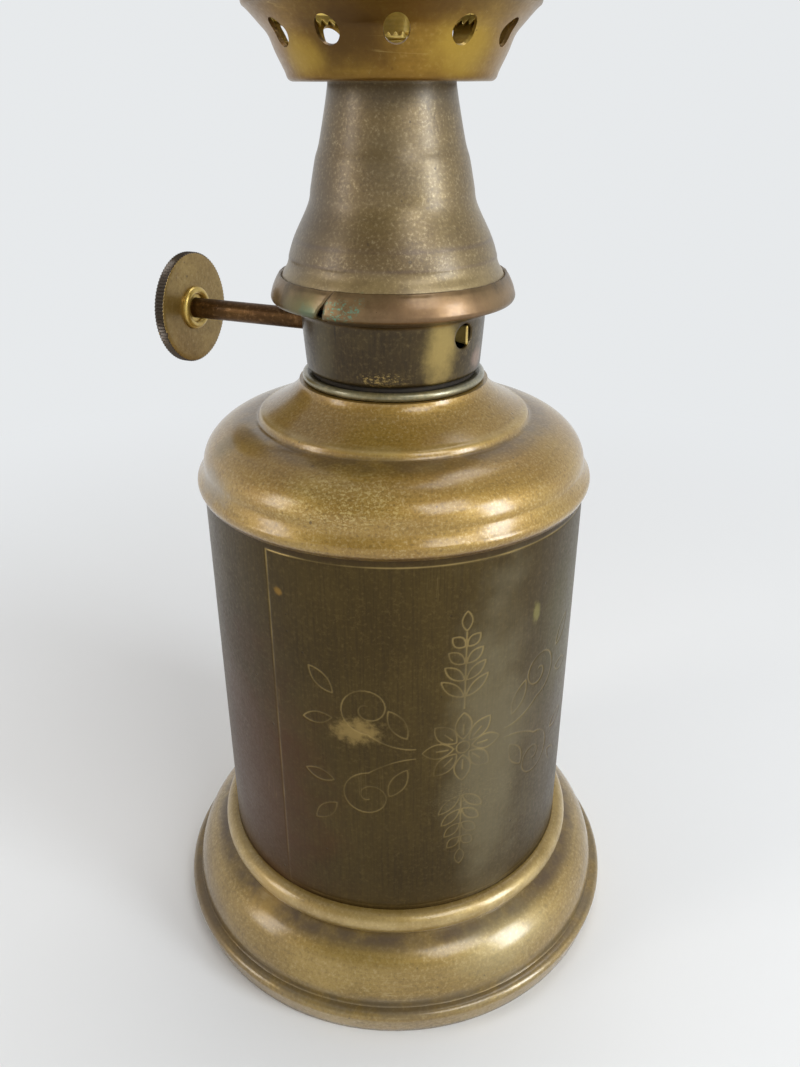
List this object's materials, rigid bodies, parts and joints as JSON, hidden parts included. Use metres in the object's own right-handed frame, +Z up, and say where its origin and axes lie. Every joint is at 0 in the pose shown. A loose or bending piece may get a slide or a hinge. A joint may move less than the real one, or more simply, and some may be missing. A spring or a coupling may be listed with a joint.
{
  "type": "kerosene lamp",
  "caption": "Small brass spirit lamp: round tank on a spun foot, screw burner with a wick raiser, pierced gallery and clear glass chimney.",
  "frame": {"origin": "centre of the foot, on the surface that the lamp stands on", "axes": "+Z up along the lamp's axis; the viewer of the picture stands at -Y, and the knob points to the left and back of that viewer"},
  "size_m": [0.08, 0.08, 0.2563],
  "materials": {
    "foot_brass": "satin, worn golden brass",
    "tank_brass": "dark patina over brushed brass",
    "shoulder_brass": "satin golden brown brass",
    "inner_brass": "dull unpolished brass",
    "neck_metal": "pale grey tinned brass",
    "burner_brass": "dark streaked brass",
    "cone_brass": "brown bronze patina, satin",
    "wheel_brass": "olive gold stamped brass",
    "ferrule_brass": "bright brass",
    "shaft_copper": "copper brown",
    "gallery_brass": "polished golden brass",
    "gasket_leather": "dark oiled leather",
    "felt": "wool felt",
    "wick_cotton": "woven cotton",
    "chimney_glass": "clear blown glass"
  },
  "bodies": {
    "tank": {"base_shell": "foot_brass", "foot_plate": "inner_brass", "tank_body": "tank_brass", "tank_floor": "inner_brass", "shoulder_cap": "shoulder_brass", "neck_socket": "neck_metal", "felt_filling": "felt", "well_tube": "inner_brass"},
    "gasket": {"neck_gasket": "gasket_leather"},
    "burner": {"burner_plug": "inner_brass", "burner_collar": "burner_brass", "cone_shroud": "cone_brass", "wick_tube": "inner_brass", "tube_bracket": "inner_brass", "centring_plate": "inner_brass"},
    "knob": {"thumb_wheel": "wheel_brass", "wheel_ferrule": "ferrule_brass", "knob_shaft": "shaft_copper", "spur_wheel": "inner_brass", "shaft_ring": "inner_brass"},
    "wick": {"wick": "wick_cotton"},
    "gallery": {"gallery_cup": "gallery_brass", "gallery_floor": "gallery_brass", "gallery_sleeve": "gallery_brass", "chimney_holder": "gallery_brass"},
    "chimney": {"glass_chimney": "chimney_glass"}
  },
  "joints": [
    {"name": "burner_rise", "type": "slide", "parent": "tank", "child": "gasket", "axis": [0, 0, 1], "range_m": [0, 0.0045]},
    {"name": "burner_unscrew", "type": "hinge", "parent": "gasket", "child": "burner", "pos_m": [0, 0, 0.1014], "axis": [0, 0, 1], "range_deg": [0, 1080]},
    {"name": "wick_knob", "type": "hinge", "parent": "burner", "child": "knob", "pos_m": [-0.00144, -0.0033, 0.108], "axis": [0.9171, -0.3987, 0], "range_deg": [-95, 255]},
    {"name": "wick_raise", "type": "slide", "parent": "burner", "child": "wick", "axis": [0, 0, 1], "range_m": [-0.003, 0.0081]},
    {"name": "gallery_lift", "type": "slide", "parent": "burner", "child": "gallery", "axis": [0, 0, 1], "range_m": [0, 0.012]},
    {"name": "chimney_lift", "type": "slide", "parent": "gallery", "child": "chimney", "axis": [0, 0, 1], "range_m": [0, 0.03]}
  ],
  "couplings": [
    {"joint": "burner_rise", "follows": "burner_unscrew", "m_per_rad": 0.00023873},
    {"joint": "wick_raise", "follows": "wick_knob", "m_per_rad": 0.0018}
  ]
}
